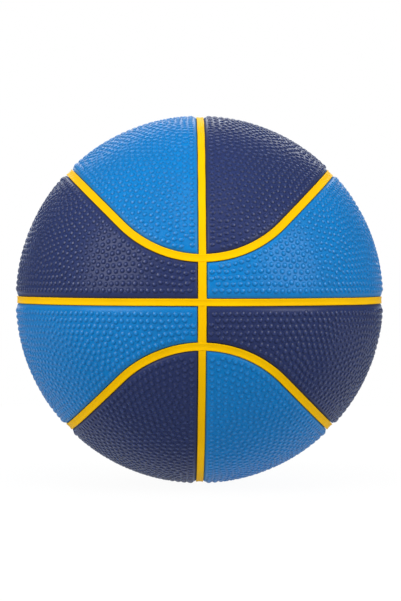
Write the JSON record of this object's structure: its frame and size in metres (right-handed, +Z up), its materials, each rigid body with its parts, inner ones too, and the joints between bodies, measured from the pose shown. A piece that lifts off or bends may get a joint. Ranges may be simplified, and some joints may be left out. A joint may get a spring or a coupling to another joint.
{
  "type": "mini basketball",
  "caption": "Small inflatable rubber basketball with pebbled panels in two blues, raised yellow seam strips and a needle valve behind, for children to throw, bounce and shoot.",
  "frame": {"origin": "centre of the ball", "axes": "+Z up as pictured, the front crossing of the seams along -Y, the valve along +Y"},
  "size_m": [0.1298, 0.1296, 0.1298],
  "materials": {
    "sky_blue_rubber": "pebbled, semi-gloss",
    "navy_rubber": "pebbled, semi-gloss",
    "yellow_rubber": "smooth, semi-gloss",
    "carcass_rubber": "matt",
    "nylon_thread": "wound thread",
    "bladder_rubber": "satin",
    "valve_seat_rubber": "satin",
    "valve_plug_rubber": "satin"
  },
  "bodies": {
    "ball": {"panel_top_left": "sky_blue_rubber", "panel_top_right": "navy_rubber", "panel_upper_left": "navy_rubber", "panel_upper_right": "sky_blue_rubber", "panel_lower_left": "sky_blue_rubber", "panel_lower_right": "navy_rubber", "panel_bottom_left": "navy_rubber", "panel_bottom_right": "sky_blue_rubber", "strip_equator": "yellow_rubber", "strip_loop_upper": "yellow_rubber", "strip_loop_lower": "yellow_rubber", "strip_crown": "yellow_rubber", "strip_keel": "yellow_rubber", "strip_front_upper": "yellow_rubber", "strip_front_lower": "yellow_rubber", "strip_back_upper": "yellow_rubber", "strip_back_lower": "yellow_rubber", "carcass": "carcass_rubber", "thread_winding": "nylon_thread", "bladder": "bladder_rubber", "valve_seat": "valve_seat_rubber"},
    "valve_plug": {"valve_plug": "valve_plug_rubber"}
  },
  "joints": [
    {"name": "valve_plug_pull", "type": "slide", "parent": "ball", "child": "valve_plug", "axis": [0, 1, 0], "range_m": [0, 0.016]}
  ]
}
